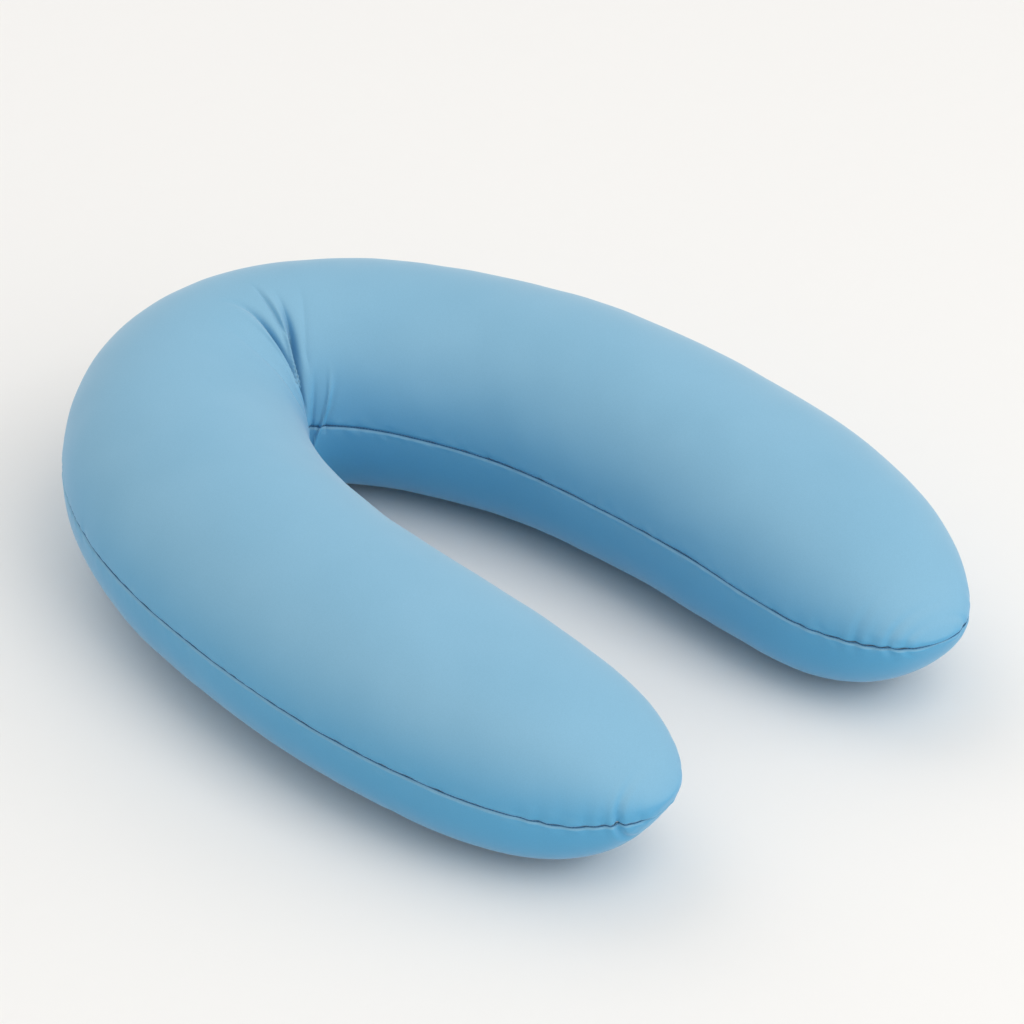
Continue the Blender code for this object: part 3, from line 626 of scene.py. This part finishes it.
LINER_DEPTH, LINER_STANDOFF = 0.0034, -0.0056
FILL_DEPTH, FILL_STANDOFF = 0.0080, -0.0092
LINER_EDGES = np.array([0, 1.5, 4.0, 8.0]) / 1000


def liner_skin(name, upper, thickness=0.0006):
    """One panel of the liner that holds the beads."""
    s, angle, edge, opening = panel_grid(SHARES[::3], upper, 0.0, 40, LINER_EDGES)
    point, out = surface(s, angle)
    normal = skin_normals(point, s, out)
    point[0], point[-1] = point[0].mean(0), point[-1].mean(0)
    height = under_relief(point, s, angle) - LINER_DEPTH + 0.0002 * soft_noise(point, 0.025, 7)
    height = height - 0.0024 * np.exp(-((edge / 0.006) ** 2))
    height = height + 1.3 * np.minimum(tip_puckers(s, angle, edge, upper), 0)
    height[0], height[-1] = height[0].mean(), height[-1].mean()
    outer = near_zip(point + normal * height[..., None], LINER_STANDOFF)
    outer[..., 2] = np.maximum(outer[..., 2], 0.0022)
    inner = outer - normal * thickness
    inner[..., 2] = np.maximum(inner[..., 2], 0.0027)
    return shell_object(name, outer, inner)


def loose_relief(point, s, angle):
    """Relief that the cover shares with the layers under it."""
    waves = 0.00045 * soft_noise(point, 0.16, 1) + 0.00015 * soft_noise(point, 0.05, 2)
    return waves + fold_field(s, angle)


def under_relief(point, s, angle):
    """Relief of the layers under the cover: wide creases, and none of the ridges."""
    waves = 0.00045 * soft_noise(point, 0.16, 1) + 0.00015 * soft_noise(point, 0.05, 2)
    folds = [fold_field(s + aside, angle) for aside in (-0.008, -0.004, 0, 0.004, 0.008)]
    clear = 0.007 * np.exp(-((s / 0.09) ** 2)) * ease((0.3 - np.cos(np.radians(angle))) / 0.6)
    return waves + WRINKLES.at(point) + np.minimum(np.minimum.reduce(folds), 0) - clear


def fill_object(name):
    """The beads, as one closed body under the liner."""
    shares = SHARES[::3]
    angle = np.linspace(0, 360, 120, endpoint=False)[None, :]
    s, angle = under_tip(shares[:, None], angle)
    point, out = surface(s, angle)
    normal = skin_normals(point, s, out)
    height = under_relief(point, s, (angle + 90) % 360 - 90) - FILL_DEPTH
    height = height - 0.0005 * (1 + 0.6 * soft_noise(point, 0.012, 8))
    grid = near_zip(point + normal * height[..., None], FILL_STANDOFF)
    grid[..., 2] = np.maximum(grid[..., 2], 0.0036)
    return closed_grid_object(name, grid)


def closed_grid_object(name, grid):
    """Closed body from a grid whose rows go all round and whose ends are points."""
    rows, columns = grid.shape[:2]
    index = np.arange((rows - 2) * columns).reshape(rows - 2, columns)
    ahead = np.roll(index, -1, axis=1)
    polys = np.stack([index[:-1], ahead[:-1], ahead[1:], index[1:]], -1).reshape(-1, 4).tolist()
    first, last = index.size, index.size + 1
    polys += [(first, ahead[0, j], index[0, j]) for j in range(columns)]
    polys += [(last, index[-1, j], ahead[-1, j]) for j in range(columns)]
    points = np.concatenate([grid[1:-1].reshape(-1, 3), grid[:1, :].mean(1), grid[-1:, :].mean(1)])
    return mesh_object(name, points, polys)


def slab_object(name, outer, inner):
    """Closed solid between two open rectangular grids."""
    rows, columns = outer.shape[:2]
    index = np.arange(rows * columns).reshape(rows, columns)
    back = index + rows * columns
    polys = np.stack([index[:-1, :-1], index[:-1, 1:], index[1:, 1:], index[1:, :-1]], -1).reshape(-1, 4).tolist()
    polys += np.stack([back[:-1, :-1], back[1:, :-1], back[1:, 1:], back[:-1, 1:]], -1).reshape(-1, 4).tolist()
    ring = list(index[:, 0]) + list(index[-1, 1:]) + list(index[-2::-1, -1]) + list(index[0, -2:0:-1])
    shift = rows * columns
    polys += [(a, b, b + shift, a + shift) for a, b in zip(ring, ring[1:] + ring[:1])]
    return mesh_object(name, np.concatenate([outer.reshape(-1, 3), inner.reshape(-1, 3)]), polys)


def resampled(path, step):
    """The same path with points at even distances."""
    length = np.concatenate([[0], np.cumsum(np.linalg.norm(np.diff(path, axis=0), axis=1))])
    count = max(int(round(length[-1] / step)), 2)
    even = np.linspace(0, length[-1], count + 1)
    return np.stack([np.interp(even, length, path[:, k]) for k in range(3)], -1), even


def seam_path(depth, start_angle, relief_of):
    """Seam from one end of a zip round both arms to the zip's other end."""
    fine = np.interp(np.linspace(0, len(SHARES) - 1, 4 * len(SHARES)), np.arange(len(SHARES)), SHARES)
    outer_angle = np.abs(zip_angle(surface(fine, 0)[0]))
    right = fine[(fine > 0) & (outer_angle > start_angle)]
    left = fine[(fine < 0) & (outer_angle > start_angle)]
    parts = [(right, False), (fine[::-1][1:-1], True), (left, False)]
    path = []
    for shares, inner in parts:
        s, angle = under_tip(shares, seam_angle(shares, inner))
        point, out = surface(s, angle)
        path.append(point + out * (relief_of(point, s, angle) - depth)[:, None])
    return np.concatenate(path)


def seam_stitches(name):
    """Thread at the bottom of the seam, drawn in between the stitches."""
    def heights(point, s, angle):
        return loose_relief(point, s, angle) + tip_puckers(s, angle, np.zeros(s.shape), True)
    # the thread's dark colour deep in the groove is partly its own and partly painted shade for the groove
    path, along = resampled(seam_path(0.0013, ZIP_HALF_ANGLE + 1.6, heights), 0.0006)
    radius = 0.00030 + 0.00016 * np.abs(np.sin(np.pi * along / 0.0030))
    return wire_object(name, [(path, radius)], 6)


def liner_seam_stitches(name):
    """Thread in the liner's seam."""
    def heights(point, s, angle):
        puckers = np.minimum(tip_puckers(s, angle, np.zeros(s.shape), True), 0)
        return under_relief(point, s, angle) + 1.3 * puckers - 0.0024
    path, along = resampled(seam_path(LINER_DEPTH + 0.0006, ZIP_HALF_ANGLE + 7, heights), 0.0012)
    radius = 0.00026 + 0.00012 * np.abs(np.sin(np.pi * along / 0.0036))
    return wire_object(name, [(path, radius)], 5)


def around_zip(angle, radius, z):
    """Point on an arc about the zip's centre; angles in degrees."""
    turn = np.radians(angle)
    return np.stack([radius * np.sin(turn), ZIP_CENTRE_Y + radius * np.cos(turn), z + 0 * turn], -1)


def zip_coil(name, sign):
    """Nylon coil whose turns meet the other side's at the zip's middle."""
    pitch, wire = 0.0015, 0.00027
    span = math.radians(2 * COIL_HALF_ANGLE) * ZIP_RADIUS
    turns = int(span / pitch)
    phase = np.linspace(0, turns * 2 * np.pi, turns * 14 + 1)
    angle = COIL_HALF_ANGLE * (2 * phase / phase[-1] - 1)
    start = 0.0 if sign > 0 else np.pi
    across = np.cos(phase + start)
    z = ZIP_Z + sign * (0.00164 + 0.00096 * across)
    radius = ZIP_RADIUS + 0.00064 * np.sin(phase + start)
    return wire_object(name, [(around_zip(angle, radius, z), wire)], 6)


COIL_HALF_ANGLE = 36.5


def hem_stitches(name):
    """Row of stitches along each hem beside the zip."""
    length, pitch = 0.0024, 0.0031
    radius = ZIP_RADIUS + HEM_STANDOFF + 0.00028
    turn = math.degrees(pitch / radius)
    count = int(2 * (ZIP_HALF_ANGLE - 0.6) / turn)
    bow = np.array([-0.00022, 0.00002, 0.00008, 0.00002, -0.00022])
    thick = np.array([0.00008, 0.00022, 0.00025, 0.00022, 0.00008])
    paths = []
    for sign in (1, -1):
        for i in range(count):
            middle = (i - (count - 1) / 2) * turn
            angle = middle + math.degrees(length / radius) * np.linspace(-0.5, 0.5, 5)
            paths.append((around_zip(angle, radius + bow, ZIP_Z + sign * (HEM_EDGE + HEM_STITCH)), thick))
    return wire_object(name, paths, 6)


def care_ribbon(name):
    """Blank woven ribbon caught in the outer seam, hanging clear of the cover."""
    width, drop, thick = 0.030, 0.042, 0.00035
    u = np.linspace(-0.5, 0.5, 25)[:, None]
    v = np.linspace(0, 1, 30)[None, :]
    s = LABEL_SHARE + u * width / HALF_LENGTH / 1.32
    seam = seam_angle(s, False)
    angle = seam - v * math.degrees(drop / 0.104)
    point, out = surface(s, angle)
    lift = 0.0009 + 0.0062 * v ** 1.7 + 0.0007 * np.sin(u * 5 + 0.6) * v ** 2
    lift = lift - 0.0016 * (1 - ease(v / 0.05))
    return slab_object(name, point + out * lift[..., None], point + out * (lift - thick)[..., None])


LABEL_SHARE = 0.27


# ---------------------------------------------------------------- materials
def new_material(name):
    """Material with an empty node tree, its Principled shader and a node maker."""
    mat = bpy.data.materials.new(name)
    mat.use_nodes = True
    tree = mat.node_tree
    shader = tree.nodes["Principled BSDF"]

    def node(kind, **values):
        made = tree.nodes.new(kind)
        for key, value in values.items():
            if key in made.inputs:
                made.inputs[key].default_value = value
            else:
                setattr(made, key, value)
        return made

    return mat, tree, shader, node


def jersey_material():
    """Fine cotton jersey, light blue, with painted light: lighter where it faces up."""
    mat, tree, shader, node = new_material("jersey")
    link = tree.links.new
    where = node("ShaderNodeTexCoord")
    patch = node("ShaderNodeTexNoise", Scale=9.0, Detail=3.0)
    link(where.outputs["Object"], patch.inputs["Vector"])
    ramp = node("ShaderNodeValToRGB")
    ramp.color_ramp.elements[0].position, ramp.color_ramp.elements[1].position = 0.3, 0.7
    ramp.color_ramp.elements[0].color = (*JERSEY_DARK, 1)
    ramp.color_ramp.elements[1].color = (*JERSEY_LIGHT, 1)
    link(patch.outputs["Fac"], ramp.inputs["Fac"])
    yarn = node("ShaderNodeTexNoise", Scale=900.0, Detail=2.0)
    link(where.outputs["Object"], yarn.inputs["Vector"])
    grain = node("ShaderNodeMapRange")
    grain.inputs["To Min"].default_value, grain.inputs["To Max"].default_value = 0.93, 1.07
    link(yarn.outputs["Fac"], grain.inputs["Value"])
    tint = node("ShaderNodeMix", data_type="RGBA", blend_type="MULTIPLY")
    tint.inputs["Factor"].default_value = 1.0
    link(ramp.outputs["Color"], tint.inputs[6])
    link(grain.outputs["Result"], tint.inputs[7])
    # painted light: the colour is lightened where the surface faces up, standing in for the light on the top
    facing = node("ShaderNodeNewGeometry")
    split = node("ShaderNodeSeparateXYZ")
    link(facing.outputs["Normal"], split.inputs["Vector"])
    upward = node("ShaderNodeMapRange", interpolation_type="SMOOTHSTEP")
    upward.inputs["From Min"].default_value, upward.inputs["From Max"].default_value = -0.3, 0.85
    link(split.outputs["Z"], upward.inputs["Value"])
    painted_top_light = node("ShaderNodeMix", data_type="RGBA", blend_type="MULTIPLY")
    link(upward.outputs["Result"], painted_top_light.inputs["Factor"])
    link(tint.outputs[2], painted_top_light.inputs[6])
    painted_top_light.inputs[7].default_value = (*JERSEY_PAINTED_TOP_LIGHT, 1)
    link(painted_top_light.outputs[2], shader.inputs["Base Color"])
    bump = node("ShaderNodeBump", Strength=0.15, Distance=0.0003)
    link(yarn.outputs["Fac"], bump.inputs["Height"])
    link(bump.outputs["Normal"], shader.inputs["Normal"])
    shader.inputs["Roughness"].default_value = 0.85
    shader.inputs["Specular IOR Level"].default_value = 0.25
    shader.inputs["Sheen Weight"].default_value = 0.35
    shader.inputs["Sheen Roughness"].default_value = 0.35
    return mat


JERSEY_DARK = (0.092, 0.352, 0.585)
JERSEY_LIGHT = (0.099, 0.368, 0.606)
JERSEY_PAINTED_TOP_LIGHT = (2.31, 1.21, 0.99)   # painted light: how much lighter the fabric is painted where it faces up, where more light falls


def plain_material(name, colour, roughness, metallic=0.0, scale=700.0, spread=0.1):
    """Surface with a fine procedural grain."""
    mat, tree, shader, node = new_material(name)
    link = tree.links.new
    where = node("ShaderNodeTexCoord")
    grain = node("ShaderNodeTexNoise", Scale=scale, Detail=3.0)
    link(where.outputs["Object"], grain.inputs["Vector"])
    ramp = node("ShaderNodeValToRGB")
    ramp.color_ramp.elements[0].color = (*[c * (1 - spread) for c in colour], 1)
    ramp.color_ramp.elements[1].color = (*[min(c * (1 + spread), 1) for c in colour], 1)
    link(grain.outputs["Fac"], ramp.inputs["Fac"])
    link(ramp.outputs["Color"], shader.inputs["Base Color"])
    bump = node("ShaderNodeBump", Strength=0.2, Distance=0.0002)
    link(grain.outputs["Fac"], bump.inputs["Height"])
    link(bump.outputs["Normal"], shader.inputs["Normal"])
    shader.inputs["Roughness"].default_value = roughness
    shader.inputs["Metallic"].default_value = metallic
    return mat


MATERIALS = {
    "jersey": jersey_material(),
    # thread: dark blue of the thread itself, and in the seam's groove also painted shade standing in for the
    # groove's shadow
    "thread": plain_material("thread", (0.035, 0.16, 0.32), 0.8),
    "zip_tape": plain_material("zip_tape", (0.16, 0.36, 0.58), 0.85),
    "zip_coil": plain_material("zip_coil", (0.40, 0.56, 0.72), 0.4),
    "zip_metal": plain_material("zip_metal", (0.60, 0.60, 0.59), 0.3, 1.0, 300, 0.05),
    "liner": plain_material("liner", (0.80, 0.80, 0.77), 0.9),
    "liner_tape": plain_material("liner_tape", (0.75, 0.75, 0.73), 0.85),
    "bead_fill": plain_material("bead_fill", (0.90, 0.90, 0.89), 0.7),
    "label": plain_material("label", (0.85, 0.85, 0.83), 0.6),
}


def dress(obj, slot, *nodes):
    """Material, body, record slot and the CAD nodes that a piece stands for."""
    obj.data.materials.clear()
    obj.data.materials.append(MATERIALS[slot])
    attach(obj, "cushion")
    if nodes:
        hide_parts(*nodes)
    return obj


WRINKLES = Wrinkles()
dress(cover_skin("cover_top_skin", True), "jersey", "cover_top_panel")
dress(cover_skin("cover_bottom_skin", False), "jersey", "cover_bottom_panel")
dress(liner_skin("liner_top_skin", True), "liner", "liner_top_panel")
dress(liner_skin("liner_bottom_skin", False), "liner", "liner_bottom_panel")
dress(fill_object("bead_filling"), "bead_fill", "bead_fill")
dress(seam_stitches("cover_seam_stitches"), "thread", "cover_seam_thread")
dress(liner_seam_stitches("liner_seam_stitches"), "liner", "liner_seam_thread")
dress(hem_stitches("zip_hem_stitches"), "thread")
dress(zip_coil("zip_coil_turns_upper", 1), "zip_coil", "zip_coil_upper")
dress(zip_coil("zip_coil_turns_lower", -1), "zip_coil", "zip_coil_lower")
dress(care_ribbon("care_ribbon"), "label", "care_label")

for entry in frame["record"]["subparts"]:
    node = NODES[entry["node"]]
    node.data.materials.clear()
    node.data.materials.append(MATERIALS[entry["material_slot"]])


# ---------------------------------------------------------------- floor, light, camera
def add_floor():
    """Wide pale floor."""
    size = 14.0
    corners = [(-size, -size, 0), (size, -size, 0), (size, size, 0), (-size, size, 0)]
    floor = mesh_object("floor", np.array(corners, float), [(0, 1, 2, 3)])
    floor.data.materials.append(plain_material("floor_paper", FLOOR_COLOUR, 0.9, 0.0, 40, 0.004))


# Soft lamps on a sphere about the cushion: degrees from +X, elevation and watts.
LAMPS = ((270, 28, 105), (270, 58, 110), (315, 28, 60), (45, 28, 20), (90, 28, 40), (90, 58, 50))
LAMP_DISTANCE, LAMP_SIZE = 7.0, 4.5


def place_lamp(turn, rise, power):
    """Soft square lamp aimed at the middle of the floor."""
    turn, rise = math.radians(turn), math.radians(rise)
    place = LAMP_DISTANCE * Vector(
        (math.cos(turn) * math.cos(rise), math.sin(turn) * math.cos(rise), math.sin(rise)))
    lamp = bpy.data.lights.new("studio_lamp", "AREA")
    lamp.shape, lamp.size, lamp.energy = "SQUARE", LAMP_SIZE, power
    obj = bpy.data.objects.new("studio_lamp", lamp)
    obj.location = place
    obj.rotation_euler = (-place).to_track_quat("-Z", "Y").to_euler()
    bpy.context.scene.collection.objects.link(obj)


def add_camera():
    """Long lens, from above the near arm's left."""
    azimuth, elevation = math.radians(-43.8882), math.radians(32.1285)
    back = Vector((math.sin(azimuth) * math.cos(elevation),
                   -math.cos(azimuth) * math.cos(elevation), math.sin(elevation)))
    camera = bpy.data.objects.new("camera", bpy.data.cameras.new("camera"))
    camera.data.sensor_width = 36.0
    camera.data.lens = 155.86
    camera.location = Vector((0.05566, -0.00600, 0.08333)) + back * 4.0315
    camera.rotation_euler = (-back).to_track_quat("-Z", "Y").to_euler()
    camera.data.clip_end = 60.0
    bpy.context.scene.collection.objects.link(camera)
    bpy.context.scene.camera = camera


FLOOR_COLOUR = (0.845, 0.830, 0.806)


def add_world(strength, colour):
    """Even pale surroundings."""
    world = bpy.data.worlds.new("studio")
    world.use_nodes = True
    background = world.node_tree.nodes["Background"]
    background.inputs["Color"].default_value = (*colour, 1)
    background.inputs["Strength"].default_value = strength
    bpy.context.scene.world = world


add_floor()
add_world(0.68, (1.0, 1.0, 1.0))
for turn, rise, power in LAMPS:
    place_lamp(turn, rise, power)
add_camera()
bpy.context.scene.view_settings.view_transform = "Standard"
